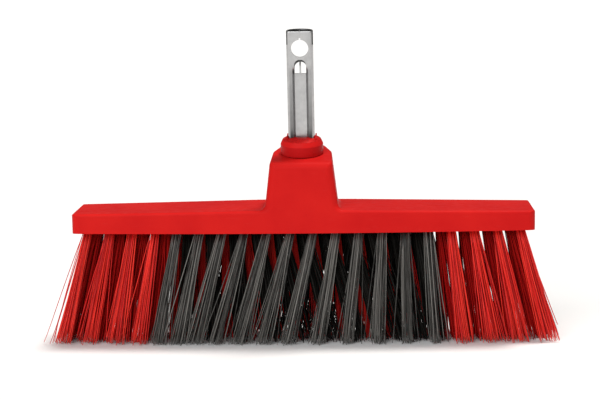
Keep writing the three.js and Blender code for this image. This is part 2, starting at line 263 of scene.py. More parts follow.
def revolve(name, profile, sides, axis="z", turned=None):
    """A profile of (radius, height) rows carried round its axis: each point lies at
    (radius cos a, radius sin a, height), with the axis along z, or along y."""
    profile = np.array(profile, dtype=float)
    angle = np.linspace(0, 2 * np.pi, sides, endpoint=False)[None, :]
    radius, height = profile[:, :1], profile[:, 1:]
    across, along = radius * np.cos(angle), radius * np.sin(angle)
    height = np.broadcast_to(height, across.shape)
    if axis == "z":
        points = np.stack([across, along, height], axis=-1)
    else:
        points = np.stack([across, height, along], axis=-1)
    if turned:
        points = turned(points)
    points = points.reshape(-1, 3)
    quads = grid_quads(len(profile), sides, columns_closed=True)
    return close_up(mesh_of(name, points, quads))


def rounded_profile(corners, steps=6):
    """A polyline of (radius, height, rounding) corners with each corner replaced by a
    quadratic curve that starts and ends its rounding away from it."""
    corners = np.array(corners, dtype=float)
    share = np.linspace(0, 1, steps)[:, None]
    rows = []
    for i, rounding in enumerate(corners[:, 2]):
        corner = corners[i, :2]
        if rounding == 0 or i in (0, len(corners) - 1):
            rows.append(corner[None, :])
            continue
        before, after = corners[i - 1, :2] - corner, corners[i + 1, :2] - corner
        start = corner + before / np.linalg.norm(before) * rounding
        end = corner + after / np.linalg.norm(after) * rounding
        rows.append((1 - share) ** 2 * start + 2 * share * (1 - share) * corner
                    + share ** 2 * end)
    return np.concatenate(rows)


def stacked(name, loop, levels, turned=None):
    """A closed loop of (x, y) points carried up through levels of (z, x scale, y scale,
    x shift, y shift), and closed by shrinking to its middle at both ends."""
    levels = np.array(levels, dtype=float)
    ends = np.concatenate([levels[:1], levels, levels[-1:]])
    ends[0, 1:3] = ends[-1, 1:3] = 0
    x = loop[None, :, 0] * ends[:, 1:2] + ends[:, 3:4]
    y = loop[None, :, 1] * ends[:, 2:3] + ends[:, 4:5]
    z = np.broadcast_to(ends[:, :1], x.shape)
    points = np.stack([x, y, z], axis=-1)
    if turned:
        points = turned(points)
    quads = grid_quads(len(ends), len(loop), columns_closed=True)
    return close_up(mesh_of(name, points.reshape(-1, 3), quads))


def rounded_rectangle(half_x, half_y, radius, steps=5):
    """A closed loop of points round a rectangle whose corners are quarter circles."""
    angle = np.linspace(0, np.pi / 2, steps)
    quarter = np.stack([np.cos(angle), np.sin(angle)], axis=-1) * radius
    loop = []
    for turn, (side_x, side_y) in enumerate([(1, 1), (-1, 1), (-1, -1), (1, -1)]):
        cosine, sine = math.cos(turn * np.pi / 2), math.sin(turn * np.pi / 2)
        turned = quarter @ np.array([[cosine, sine], [-sine, cosine]])
        loop.append(turned + [side_x * (half_x - radius), side_y * (half_y - radius)])
    return np.concatenate(loop)


def drilled(radius, height, start, end, sides=72):
    """A closed cylinder along Y, from start to end, at a height in the shank's frame."""
    profile = [(0, start), (radius, start), (radius, end), (0, end)]
    return revolve("drill", profile, sides, "y", lambda at: leaning(at + [0, 0, height]))


def smooth_step(value):
    """0 below 0, 1 above 1, and 3v^2 - 2v^3 between."""
    value = np.clip(value, 0, 1)
    return value * value * (3 - 2 * value)


# ---------------------------------------------------------------- node making


def new_material(name):
    """An empty material with one Principled shader, its node tree and that shader."""
    material = bpy.data.materials.new(name)
    material.use_nodes = True
    tree = material.node_tree
    tree.nodes.clear()
    output = tree.nodes.new("ShaderNodeOutputMaterial")
    shader = tree.nodes.new("ShaderNodeBsdfPrincipled")
    tree.links.new(shader.outputs["BSDF"], output.inputs["Surface"])
    return material, tree, shader


def feed(tree, value, socket):
    """Gives a socket another socket's value, a number or a colour."""
    if isinstance(value, bpy.types.NodeSocket):
        tree.links.new(value, socket)
    elif isinstance(value, (int, float)):
        socket.default_value = value
    else:
        socket.default_value = (*value, 1)


def number(tree, operation, first, second):
    """One Math node on two sockets or fixed numbers."""
    node = tree.nodes.new("ShaderNodeMath")
    node.operation = operation
    for value, socket in zip((first, second), node.inputs):
        feed(tree, value, socket)
    return node.outputs[0]


def folded(tree, operation, first, *others):
    """The same Math operation on any number of values, one after the other."""
    for other in others:
        first = number(tree, operation, first, other)
    return first


def product(tree, *values):
    """All the values multiplied."""
    return folded(tree, "MULTIPLY", *values)


def eased(tree, value, start, end):
    """0 at start, 1 at end, eased at both ends, and flat beyond them."""
    node = tree.nodes.new("ShaderNodeMapRange")
    node.interpolation_type = "SMOOTHSTEP"
    node.inputs["From Min"].default_value = start
    node.inputs["From Max"].default_value = end
    tree.links.new(value, node.inputs["Value"])
    return node.outputs["Result"]


def object_point(tree, stretch=(1, 1, 1)):
    """Object coordinates through a Mapping node that stretches the pattern."""
    where = tree.nodes.new("ShaderNodeTexCoord")
    mapping = tree.nodes.new("ShaderNodeMapping")
    mapping.inputs["Scale"].default_value = stretch
    tree.links.new(where.outputs["Object"], mapping.inputs["Vector"])
    return mapping.outputs["Vector"]


def attribute(tree, name):
    """The value that a piece's points carry under a name."""
    node = tree.nodes.new("ShaderNodeAttribute")
    node.attribute_name = name
    return node.outputs["Fac"]


def noise(tree, point, scale, detail=3.0, roughness=0.5):
    """Cloudy noise from 0 to 1, with scale clouds to the metre."""
    node = tree.nodes.new("ShaderNodeTexNoise")
    node.inputs["Scale"].default_value = scale
    node.inputs["Detail"].default_value = detail
    node.inputs["Roughness"].default_value = roughness
    tree.links.new(point, node.inputs["Vector"])
    return node.outputs["Fac"]


def ramp(tree, value, stops):
    """A colour ramp through (place, colour) stops; a single number is a gray."""
    node = tree.nodes.new("ShaderNodeValToRGB")
    elements = node.color_ramp.elements
    while len(elements) < len(stops):
        elements.new(0.5)
    for element, (position, colour) in zip(elements, stops):
        element.position = position
        gray = isinstance(colour, (int, float))
        element.color = (colour, colour, colour, 1) if gray else (*colour, 1)
    tree.links.new(value, node.inputs["Fac"])
    return node.outputs["Color"]


def mixed(tree, share, first, second):
    """Two colours mixed by a share; each is a socket or a fixed colour."""
    node = tree.nodes.new("ShaderNodeMix")
    node.data_type = "RGBA"
    feed(tree, share, node.inputs[0])
    feed(tree, first, node.inputs[6])
    feed(tree, second, node.inputs[7])
    return node.outputs[2]


def bumped(tree, shader, height, strength, distance):
    """Grain in the shader's normal from a height, with its depth in millimetres."""
    node = tree.nodes.new("ShaderNodeBump")
    node.inputs["Strength"].default_value = strength
    node.inputs["Distance"].default_value = distance * MM
    tree.links.new(height, node.inputs["Height"])
    tree.links.new(node.outputs["Normal"], shader.inputs["Normal"])


def times(share, colour):
    """A fixed colour made lighter or darker."""
    return tuple(share * part for part in colour)


# ---------------------------------------------------------------- materials


def shank_axes(tree):
    """Distance from the middle, depth from the shank's axis and height above its seat, in
    millimetres: Object coordinates with the shank's lean taken out."""
    where = tree.nodes.new("ShaderNodeTexCoord")
    moved = tree.nodes.new("ShaderNodeVectorMath")
    moved.operation = "SUBTRACT"
    moved.inputs[1].default_value = (0, 0, seat_z * MM)
    tree.links.new(where.outputs["Object"], moved.inputs[0])
    upright = tree.nodes.new("ShaderNodeVectorRotate")
    upright.rotation_type = "X_AXIS"
    upright.inputs["Angle"].default_value = -shank_tilt
    tree.links.new(moved.outputs[0], upright.inputs["Vector"])
    scaled = tree.nodes.new("ShaderNodeVectorMath")
    scaled.operation = "SCALE"
    scaled.inputs["Scale"].default_value = 1 / MM
    tree.links.new(upright.outputs[0], scaled.inputs[0])
    split = tree.nodes.new("ShaderNodeSeparateXYZ")
    tree.links.new(scaled.outputs[0], split.inputs[0])
    across = number(tree, "ABSOLUTE", split.outputs["X"], 0)
    return across, split.outputs["Y"], split.outputs["Z"]


def pitted_shaded_cap(tree):
    """The collar's top, above its bright band: pitted moulding, darkened with painted shade."""
    height = shank_axes(tree)[2]
    band = (collar_band_top - collar_rim) * 0.8
    return eased(tree, height, collar_rim + band, collar_rim + band + 0.6)


def painted_shade_wall(tree):
    """The collar's upright wall, below its bright band: painted shade makes it a deeper red."""
    height = shank_axes(tree)[2]
    return eased(tree, height, collar_rim + 0.1, collar_rim - 0.1)


def moulded_plastic(name, deep, light, roughness, grain, pits_and_shade=None, shaded=None):
    """Moulded plastic: slow cloudy colour, fine grain in bump and gloss, a few faint scuffs.
    A share of pits and shade gives pitted skin darkened as painted shade, and a shaded share
    paints shade as a deeper red."""
    material, tree, shader = new_material(name)
    point = object_point(tree)
    cloud = ramp(tree, noise(tree, point, 28, 3), [(0.3, deep), (0.7, light)])
    speck = ramp(tree, noise(tree, point, 900, 2), [(0.62, 0), (0.8, 0.35)])
    colour = mixed(tree, speck, cloud, times(0.75, deep))
    upright = object_point(tree, (0.5, 1, 3))
    scuff = ramp(tree, noise(tree, upright, 240, 5, 0.7), [(0.6, 0), (0.76, 0.22)])
    colour = mixed(tree, scuff, colour, tuple(0.9 * part + 0.04 for part in light))
    # painted shade: the collar's wall below its band is made a deeper red
    if shaded:
        colour = mixed(tree, shaded(tree), colour, times(0.92, deep))
    # pitted skin, with painted shade darkening the collar's cap
    if pits_and_shade:
        pits = ramp(tree, noise(tree, point, 620, 4, 0.75), [(0.36, 0.6), (0.6, 0.0)])
        colour = mixed(tree, product(tree, pits_and_shade(tree), pits), colour, times(0.45, deep))
    tree.links.new(colour, shader.inputs["Base Color"])
    gloss = ramp(tree, noise(tree, point, 160, 4),
                 [(0.3, roughness - 0.07), (0.7, roughness + 0.07)])
    tree.links.new(gloss, shader.inputs["Roughness"])
    shader.inputs["Specular IOR Level"].default_value = 0.04
    bumped(tree, shader, noise(tree, point, 1500, 3), grain, 0.05)
    return material


def painted_shade_on_zinc(tree):
    """How much painted shade darkens the shank's zinc, 0 to 1: fully inside the fold and along the
    side steps, a little on the groove's slopes, and on the two shoulders more and more towards the
    collar, there as painted shade and darker reflection.
    The inside is where (across / half width)^2 + (depth behind the flanks / half depth)^2,
    taken on the middle of the sheet, is below 1."""
    across, depth, height = shank_axes(tree)
    front = -shank_half_depth
    mouth = groove_half_floor + groove_side_run
    on_front = eased(tree, depth, front + groove_depth + 0.6, front + groove_depth + 0.3)
    grooved = eased(tree, height, groove_top + 3, groove_top - 3)

    past_floor = eased(tree, across, groove_half_floor - 0.4, groove_half_floor + 0.4)
    before_mouth = eased(tree, across, mouth + 0.9, mouth + 0.1)
    slope = product(tree, on_front, grooved, past_floor, before_mouth, 0.42)

    low = product(tree, eased(tree, height, groove_top + 2, 18), 0.40)
    lowest = product(tree, eased(tree, height, 24, 15), 0.33)
    past_mouth = eased(tree, across, mouth - 0.3, mouth + 0.4)
    before_edge = eased(tree, across, shank_half_width - 1.2, shank_half_width - 2.2)
    shoulder = product(tree, on_front, grooved, past_mouth, before_edge,
                       folded(tree, "ADD", low, lowest, 0.22))

    middle = shank_sheet / 2
    behind = number(tree, "SUBTRACT", depth, shank_flank_end)
    behind = number(tree, "MAXIMUM", behind, 0)
    share_x = number(tree, "DIVIDE", across, shank_half_width - middle)
    share_y = number(tree, "DIVIDE", behind, shank_half_depth - shank_flank_end - middle)
    spread = number(tree, "ADD", product(tree, share_x, share_x), product(tree, share_y, share_y))
    inside = product(tree, eased(tree, spread, 1.05, 0.95),
                     eased(tree, depth, front + 0.8, front + 1.1),
                     eased(tree, height, groove_top + 1, groove_top + 3), 0.82)

    step_side = shank_half_width - step_width
    step_foot = shank_top - step_height
    stepped = product(tree, eased(tree, across, step_side - 0.25, step_side),
                      eased(tree, height, step_foot - 0.2, step_foot + 0.1),
                      eased(tree, depth, front + step_depth + 0.2, front + step_depth), 0.9)
    return folded(tree, "MAXIMUM", slope, shoulder, inside, stepped)


def zinc_steel(name, dark, bright, roughness, painted_shade_share=None):
    """Zinc-plated sheet: soft crystal mottling, fine upright drawing lines, small dull marks,
    and, where a painted shade share is given, painted shade down to a dark gray."""
    material, tree, shader = new_material(name)
    point = object_point(tree)
    spangle = tree.nodes.new("ShaderNodeTexVoronoi")
    spangle.inputs["Scale"].default_value = 260
    tree.links.new(point, spangle.inputs["Vector"])
    cloud = ramp(tree, noise(tree, point, 140, 4, 0.6), [(0.3, dark), (0.7, bright)])
    crystal = ramp(tree, spangle.outputs["Distance"], [(0.0, bright), (0.9, dark)])
    colour = mixed(tree, 0.35, cloud, crystal)
    lines = noise(tree, object_point(tree, (1, 1, 0.06)), 1800, 3, 0.6)
    drawn = ramp(tree, lines, [(0.55, 0), (0.75, 0.25)])
    colour = mixed(tree, drawn, colour, times(0.7, dark))
    # painted shade: the share darkens the zinc towards a dark gray in the fold, steps, slopes and
    # low shoulders
    if painted_shade_share:
        colour = mixed(tree, painted_shade_share(tree), colour, times(0.08, dark))
    tree.links.new(colour, shader.inputs["Base Color"])
    shader.inputs["Metallic"].default_value = 1.0
    gloss = ramp(tree, noise(tree, point, 420, 3),
                 [(0.3, roughness - 0.06), (0.75, roughness + 0.1)])
    tree.links.new(gloss, shader.inputs["Roughness"])
    bumped(tree, shader, lines, 0.25, 0.03)
    return material


def bristle_plastic(name, shades, tip_shade, deep_shade, roughness, specular, painted_row_shade):
    """Drawn filament: each strand has its own shade and gloss, and the worn tip goes paler. A
    high painted row shade, for rows between other rows, draws the strands to the deep colour and
    takes their gleam away: painted shade."""
    material, tree, shader = new_material(name)

    def drawn_to_row_shade(colour):
        """A colour drawn towards the deep one by the painted row shade."""
        return tuple((1 - painted_row_shade) * part + painted_row_shade * deep
                     for part, deep in zip(colour, deep_shade))

    pale = drawn_to_row_shade(tip_shade)
    strand = attribute(tree, "strand")
    base = ramp(tree, strand, [(position, drawn_to_row_shade(colour)) for position, colour in shades])
    streak = noise(tree, object_point(tree, (1, 1, 0.1)), 700, 3)
    base = mixed(tree, ramp(tree, streak, [(0.45, 0), (0.8, 0.4)]), base, pale)
    worn = ramp(tree, attribute(tree, "along"), [(0.93, 0), (1.0, 0.75)])
    tree.links.new(mixed(tree, worn, base, pale), shader.inputs["Base Color"])
    gloss = ramp(tree, strand, [(0.0, roughness - 0.06), (1.0, roughness + 0.1)])
    tree.links.new(gloss, shader.inputs["Roughness"])
    # painted shade: the rows between other rows lose their gleam
    shader.inputs["Specular IOR Level"].default_value = specular * (1 - painted_row_shade)
    bumped(tree, shader, streak, 0.3, 0.05)
    return material


head_red = moulded_plastic("head_red_plastic", (0.53, 0.009, 0.009), (0.60, 0.013, 0.011),
                           0.46, 0.10)
collar_red = moulded_plastic("collar_red_plastic", (0.50, 0.009, 0.010), (0.62, 0.013, 0.012),
                             0.42, 0.16, pitted_shaded_cap, painted_shade_wall)
# the shank's zinc, with painted shade in its hollows and towards the collar
shank_zinc = zinc_steel("shank_zinc", (0.42, 0.42, 0.425), (0.545, 0.545, 0.545), 0.36,
                        painted_shade_on_zinc)
screw_zinc = zinc_steel("screw_zinc", (0.34, 0.34, 0.35), (0.50, 0.50, 0.50), 0.30)

# painted shade: rows between other rows get darker, less glossy copies of each filament
painted_row_shade_at = {"outer": 0.0, "inner": 0.9, "middle": 0.5}
red_shades = [(0.0, (0.36, 0.006, 0.007)), (0.4, (0.70, 0.013, 0.012)),
              (1.0, (0.93, 0.038, 0.020))]
black_shades = [(0.3, (0.010, 0.009, 0.007)), (0.55, (0.085, 0.080, 0.072)),
                (1.0, (0.19, 0.181, 0.166))]
red_filament = {
    spot: bristle_plastic(f"red_filament_{spot}", red_shades, (0.80, 0.06, 0.045),
                          (0.30, 0.005, 0.005), 0.40, 0.25, painted_row_shade_at[spot])
    for spot in ("outer", "inner", "middle")}
black_filament = {
    spot: bristle_plastic(f"black_filament_{spot}", black_shades, (0.20, 0.195, 0.185),
                          (0.003, 0.0027, 0.0022), 0.38, 0.5, painted_row_shade_at[spot])
    for spot in ("outer", "inner")}

# ---------------------------------------------------------------- head


def board_top(x):
    """Height of the board's top: highest in the middle, falling evenly to both ends."""
    return board_underside + board_end_height + board_crown * (1 - np.abs(x) / board_half_length)


def front_y(x):
    """Y of the front: it stands back by front_bow (x / half length)^2."""
    return board_front + front_bow * np.clip(np.abs(x) / board_half_length, 0, 1) ** 2


def back_y(x, z):
    """Y of the back: straight, and a little further in on the neck."""
    return board_back - neck_rear_inset * smooth_step((z - board_top(x)) / neck_fillet)


def corner_depth(x):
    """How far a quarter-round corner stands back at x from the flat front or back."""
    into = np.clip(np.abs(x) - (board_half_length - board_corner_radius), 0, board_corner_radius)
    return board_corner_radius - np.sqrt(board_corner_radius ** 2 - into ** 2)


def neck_half_width(y):
    """Half width of the neck's top at y: nearly straight sides, then cut-off rear corners."""
    side_share = (y - board_front) / (neck_side_end - board_front)
    rear_share = (y - neck_side_end) / (board_back - neck_rear_inset - neck_side_end)
    side = neck_front_half + (neck_side_half - neck_front_half) * np.clip(side_share, 0, 1)
    return side + (neck_rear_half - neck_side_half) * np.clip(rear_share, 0, 1)


def half_outline(y, inset):
    """Right half of a section across the broom at y, from the middle of the neck's top out to
    the board's end: flat top, rounded shoulder, drafted side, fillet, crowned board top and
    rounded end. y and inset are columns, one row for each section; inset is the share, 0 to 1,
    of each edge's rounding by which the section is drawn in."""
    slope = math.atan(neck_draft)
    top = (board_underside + neck_height + (y - board_front) * math.tan(shank_tilt)
           - neck_top_radius * inset)
    width = neck_half_width(y) - neck_corner_radius * inset
    shoulder = neck_shoulder_round * (1 - inset) + least_round
    shoulder_x = width - shoulder * (1 - math.sin(slope)) / math.cos(slope)
    fillet = neck_fillet + neck_fillet_gain * inset
    level = board_top(neck_front_half + 2 * neck_fillet) - board_edge_radius * inset
    fillet_x = width + (fillet - math.sin(slope) * (level + fillet - top)) / math.cos(slope)
    end_round = board_end_round * (1 - inset) + least_round
    end_x = board_half_length - board_corner_radius * inset

    flat = np.linspace(0, 1, 12)[None, :-1]
    x_flat, z_flat = flat * shoulder_x, top + 0 * flat
    turn = np.linspace(np.pi / 2, slope, 7)[None, :]
    x_turn, z_turn = shoulder_x + shoulder * np.cos(turn), top - shoulder + shoulder * np.sin(turn)
    bend = np.linspace(np.pi + slope, 1.5 * np.pi, 10)[None, :]
    x_bend, z_bend = fillet_x + fillet * np.cos(bend), level + fillet + fillet * np.sin(bend)
    down = np.linspace(0, 1, 16)[None, 1:-1]
    x_down = x_turn[:, -1:] + down * (x_bend[:, :1] - x_turn[:, -1:])
    z_down = z_turn[:, -1:] + down * (z_bend[:, :1] - z_turn[:, -1:])
    out = np.linspace(0, 1, 44)[None, 1:-1]
    x_out = fillet_x + out * (end_x - end_round - fillet_x)
    z_out = board_top(x_out) - board_edge_radius * inset
    z_out = z_out + (level - z_out) * (1 - smooth_step(out * 8))
    close = np.linspace(np.pi / 2, 0, 6)[None, :]
    end_top = board_top(end_x) - board_edge_radius * inset
    x_close = end_x - end_round + end_round * np.cos(close)
    z_close = end_top - end_round + end_round * np.sin(close)
    x_parts = (x_flat, x_turn, x_down, x_bend, x_out, x_close)
    x = np.concatenate(x_parts, axis=1)
    z = np.concatenate([z_flat, z_turn, z_down, z_bend, z_out, z_close], axis=1)
    sizes = [part.shape[1] for part in x_parts]
    edge = np.repeat([neck_top_radius, 0, neck_corner_radius, 0, board_edge_radius,
                      board_edge_radius], sizes)
    start = np.cumsum(sizes)
    edge[start[0]:start[1]] = np.linspace(neck_top_radius, neck_corner_radius, sizes[1])
    edge[start[2]:start[3]] = np.linspace(neck_corner_radius, board_edge_radius, sizes[3])
    return x, z, edge


def make_head():
    """The board and neck as one skin. Sections across the broom are drawn in at the front and
    back, so that every edge is a quarter round of its own radius; between them the sections
    follow the bowed front and the straight back."""
    turn = np.linspace(0, np.pi / 2, 8)
    between = np.array([0.02, 0.1, 0.22, 0.35, 0.48, 0.58, 0.64, 0.67, 0.70, 0.78, 0.88, 0.98])
    front_share = np.concatenate([1 - np.cos(turn), np.ones(len(between) + len(turn))])
    back_share = np.concatenate([np.ones(len(turn) + len(between)), (1 - np.cos(turn))[::-1]])
    inset = np.concatenate([1 - np.sin(turn), np.zeros(len(between)), (1 - np.sin(turn))[::-1]])
    run = np.concatenate([np.zeros(len(turn)), between, np.ones(len(turn))])
    near, far = board_front + board_edge_reach, board_back - board_edge_reach
    level_y = near + run * (far - near)
    level_y = np.where(run == 0, board_front + board_edge_reach * front_share, level_y)
    level_y = np.where(run == 1, board_back - board_edge_reach * back_share, level_y)
    x, z, edge = half_outline(level_y[:, None], inset[:, None])
    edge = np.maximum(edge, corner_depth(x[len(turn) - 1]))
    x = np.concatenate([-x[:, :0:-1], x], axis=1)
    z = np.concatenate([z[:, :0:-1], z], axis=1)
    edge = np.concatenate([edge[:0:-1], edge])
    columns = x.shape[1]

    def depth(x_at, z_at, edge_at):
        """Y of the sections: edge radius times the rounding's share in from front and back."""
        front = front_y(x_at) + edge_at * front_share[:, None]
        back = back_y(x_at, z_at) - edge_at * back_share[:, None]
        return front + run[:, None] * (back - front)

    floor = board_underside + board_under_radius * inset[:, None] + 0 * x
    under = np.maximum(board_under_radius, corner_depth(x[len(turn) - 1]))
    top_points = np.stack([x, depth(x, z, edge), z], axis=-1)
    under_points = np.stack([x, depth(x, floor, under), floor], axis=-1)
    rise = np.linspace(0, 1, 9)

    def end_points(column):
        """The upright rows of one end, from the underside to the top."""
        inner_rise = rise[None, 1:-1]
        z_end = floor[:, column:column + 1] + inner_rise * (z - floor)[:, column:column + 1]
        x_end = x[:, column:column + 1] + 0 * inner_rise
        return np.stack([x_end, depth(x_end, z_end, board_corner_radius), z_end], axis=-1)

    left, right = end_points(0), end_points(columns - 1)
    loop = np.concatenate([top_points, right[:, ::-1], under_points[:, ::-1], left], axis=1)
    rows = len(loop)
    points = [loop.reshape(-1, 3)]
    quads = [grid_quads(rows, loop.shape[1], columns_closed=True)]
    for row in (0, rows - 1):
        cap_x = x[row] + 0 * rise[:, None]
        cap_z = floor[row] + rise[:, None] * (z[row] - floor[row])
        cap_y = front_y(cap_x) if row == 0 else back_y(cap_x, cap_z)
        quads.append(grid_quads(len(rise), columns) + sum(len(part) for part in points))
        points.append(np.stack([cap_x, cap_y, cap_z], axis=-1).reshape(-1, 3))
    skin = close_up(mesh_of("head_skin", np.concatenate(points), np.concatenate(quads)), 0.004)
    seat = screw_head_back - screw_head_height - clearance
    screw_way = drilled(screw_head_radius + clearance, screw_z, seat, board_back + 12, 64)
    place("head_moulding", cut_away(skin, [screw_way]), head_red, "red_plastic", "head", sharp=38)


make_head()

# ---------------------------------------------------------------- collar


def make_collar():
    """A turned profile with softened edges, and a thin rib beside each flank of the shank."""
    hollow = collar_cap - collar_hollow
    profile = rounded_profile([
        (0, spigot_foot, 0), (spigot_radius, spigot_foot, 0.5), (spigot_radius, collar_foot, 0),
        (collar_radius, collar_foot, 0.4), (collar_radius, collar_rim, 0.2),
        (collar_radius - 0.3, collar_rim + collar_rim_bevel, 0.5),
        (collar_band_radius, collar_band_top, 0.6),
        (shank_half_width + 0.4, collar_cap - 0.4, 0.8),
        (shank_half_depth + 0.1, collar_cap, 0.2), (shank_half_depth - 0.7, hollow, 0.2),
        (0, hollow, 0)])
    ring = revolve("collar_ring", profile, 128, turned=leaning)
    ribs = []
    loop = rounded_rectangle(rib_thickness / 2, rib_depth / 2, 0.5)
    for side in (-1, 1):
        middle = side * (shank_half_width + clearance + rib_thickness / 2)
        top = collar_rim + rib_height
        levels = [(collar_rim, 1, 1, middle, 0), (top - rib_round, 1, 1, middle, 0),
                  (top - 0.4, 0.85, 0.8, middle, 0), (top, 0.5, 0.6, middle, 0)]
        ribs.append(stacked("collar_rib", loop, levels, leaning))
    mesh = cut_away(ring, ribs, "UNION")
    place("collar_ring", mesh, collar_red, "dark_red_plastic", "collar", sharp=50)


make_collar()

# ---------------------------------------------------------------- shank


def shank_outline(inset, depth):
    """The shank's section, drawn in by inset: a grooved front, rounded front corners, straight
    flanks and a half-ellipse back, with the groove sunk by depth. The sheet's bends are
    softened by averaging along the outline."""
    half = shank_half_width - inset
    front = -shank_half_depth + inset
    corner = shank_corner - inset * 0.8
    back = shank_half_depth - inset - shank_flank_end
    floor = groove_half_floor + 0.9 * inset
    mouth = floor + groove_side_run
    share = np.linspace(0, 1, 13)[:-1]
    turn = np.linspace(-np.pi / 2, 0, 11)[:-1]
    sweep = np.linspace(0, np.pi / 2, 25)
    x = np.concatenate([share * floor, floor + share * (mouth - floor),
                        mouth + share * (half - corner - mouth),
                        half - corner + corner * np.cos(turn),
                        half + 0 * share, half * np.cos(sweep)])
    y = np.concatenate([front + 0 * share, front + 0 * share, front + 0 * share,
                        front + corner + corner * np.sin(turn),
                        front + corner + share * (shank_flank_end - front - corner),
                        shank_flank_end + back * np.sin(sweep)])
    sunk = np.concatenate([1 + 0 * share, 1 - share, np.zeros(len(x) - 2 * len(share))])
    shoulder = shoulder_fall * np.clip((half - corner - np.abs(x)) / (half - corner - mouth), 0, 1)
    sunk = sunk + (1 - sunk) * np.where(y < shank_flank_end - 0.1, shoulder, 0) / groove_depth
    x = np.concatenate([x, -x[-2:0:-1]])
    sunk = np.concatenate([sunk, sunk[-2:0:-1]])
    y = np.concatenate([y, y[-2:0:-1]]) + depth * sunk
    outline = np.stack([x, y], axis=-1)
    soften = np.array([1, 2, 3, 2, 1]) / 9
    return sum(weight * np.roll(outline, shift, axis=0)
               for weight, shift in zip(soften, range(-2, 3)))


def upright_slot(foot, top, front, back):
    """A closed slot with a round top, cut along Y: its outline follows the two sides and the
    half circle between them."""
    turn = np.linspace(0, np.pi, 25)
    half = window_half_width
    x = np.concatenate([[half], half * np.cos(turn), [-half]])
    z = np.concatenate([[foot], top - half + half * np.sin(turn), [foot]])
    middle = np.array([[0, (foot + top) / 2]])
    outline = np.stack([x, z], axis=-1)
    depths = np.array([front, front, back, back])
    rings = np.stack([middle + 0 * outline, outline, outline, middle + 0 * outline])
    points = np.stack([rings[..., 0], depths[:, None] + 0 * rings[..., 0], rings[..., 1]], axis=-1)
    quads = grid_quads(4, len(outline), columns_closed=True)
    return close_up(mesh_of("slot", leaning(points).reshape(-1, 3), quads))


def block_between(low, high, turn=0.0):
    """A closed block between two corners, turned about its own middle in the XZ plane."""
    low, high = np.array(low, dtype=float), np.array(high, dtype=float)
    middle, half = (low + high) / 2, (high - low) / 2
    loop = np.array([[1, 1], [-1, 1], [-1, -1], [1, -1]], dtype=float)
    rings = np.stack([0 * loop, loop, loop, 0 * loop])
    height = np.array([-1, -1, 1, 1])[:, None] + 0 * rings[..., 0]
    points = np.stack([rings[..., 0], rings[..., 1], height], axis=-1) * half
    cosine, sine = math.cos(turn), math.sin(turn)
    turned = np.stack([cosine * points[..., 0] - sine * points[..., 2], points[..., 1],
                       sine * points[..., 0] + cosine * points[..., 2]], axis=-1)
    return close_up(mesh_of("block", leaning(turned + middle).reshape(-1, 3),
                            grid_quads(4, 4, columns_closed=True)))


def make_shank():
    """The folded sheet: its outer face, rounded top rim and inner face as one closed skin, with
    the latch hole, window, side steps and seam cut out, and the folded-in lips as a web."""
    heights = np.concatenate([np.linspace(shank_foot, groove_top - 6, 24),
                              np.linspace(groove_top - 5, groove_top + 2, 15),
                              np.linspace(groove_top + 3, shank_top - rim_round, 20)])
    lip = np.linspace(0, np.pi, 7)
    rim_inset = shank_sheet / 2 - shank_sheet / 2 * np.cos(lip)
    rim_height = shank_top - rim_round + rim_round * np.sin(lip)
    inset = np.concatenate([np.zeros(len(heights)), rim_inset, np.full(len(heights), shank_sheet)])
    level = np.concatenate([heights, rim_height, heights[::-1]])
    depth = groove_depth * smooth_step((groove_top + 1.5 - level) / groove_run_out)
    outlines = np.stack([shank_outline(drawn_in, deep) for drawn_in, deep in zip(inset, depth)])
    z = level[:, None, None] + 0 * outlines[..., :1]
    points = leaning(np.concatenate([outlines, z], axis=-1)).reshape(-1, 3)
    quads = grid_quads(len(level), outlines.shape[1], rows_closed=True, columns_closed=True)
    skin = close_up(mesh_of("shank_skin", points, quads))


    front, back = -shank_half_depth, shank_half_depth
    web = block_between((-web_thickness / 2, front + shank_sheet - 0.1, window_foot - 1.2),
                        (web_thickness / 2, back - shank_sheet - 1, shank_top - 0.2))
    back_radius, back_z = latch_radius + back_latch_extra, latch_z - back_latch_extra
    opened = cut_away(skin, [
        upright_slot(window_foot, window_top, 2 * front, 0),
        upright_slot(window_foot - back_window_drop, window_top - back_window_drop, 0, 2 * back),
        drilled(back_radius, back_z, 0, 2 * back)])
    joined = cut_away(opened, [web], "UNION")

    latch_top = latch_z + latch_radius
    latch_notch = block_between((-seam_notch / 2, front - 1, latch_top - 1),
                                (seam_notch / 2, back / 2, latch_top + seam_notch))
    seam = block_between((-seam_width / 2, front - 1, latch_top),
                         (seam_width / 2, front + seam_depth, shank_top + 1))
    top_notch = block_between(
        (-seam_notch / 2, front - shank_sheet / 2, shank_top - seam_notch / 2),
        (seam_notch / 2, front + shank_sheet / 2, shank_top + seam_notch / 2), math.pi / 4)
    steps = []
    for side in (-1, 1):
        near, far = shank_half_width - step_width, shank_half_width + 2
        low_x, high_x = sorted((side * near, side * far))
        steps.append(block_between((low_x, front - 1, shank_top - step_height),
                                   (high_x, front + step_depth, shank_top + 1)))
    mesh = cut_away(joined, [
        drilled(latch_radius, latch_z, 2 * front, 2 * back),
        drilled(screw_radius + clearance, screw_z, 0, 2 * back, 24), latch_notch,
        drilled(back_radius, back_z, front + shank_sheet + 0.1, back), seam, top_notch, *steps])
    place("shank_folded_sheet", mesh, shank_zinc, "zinc_steel", "shank", sharp=32)


make_shank()

# ---------------------------------------------------------------- screw


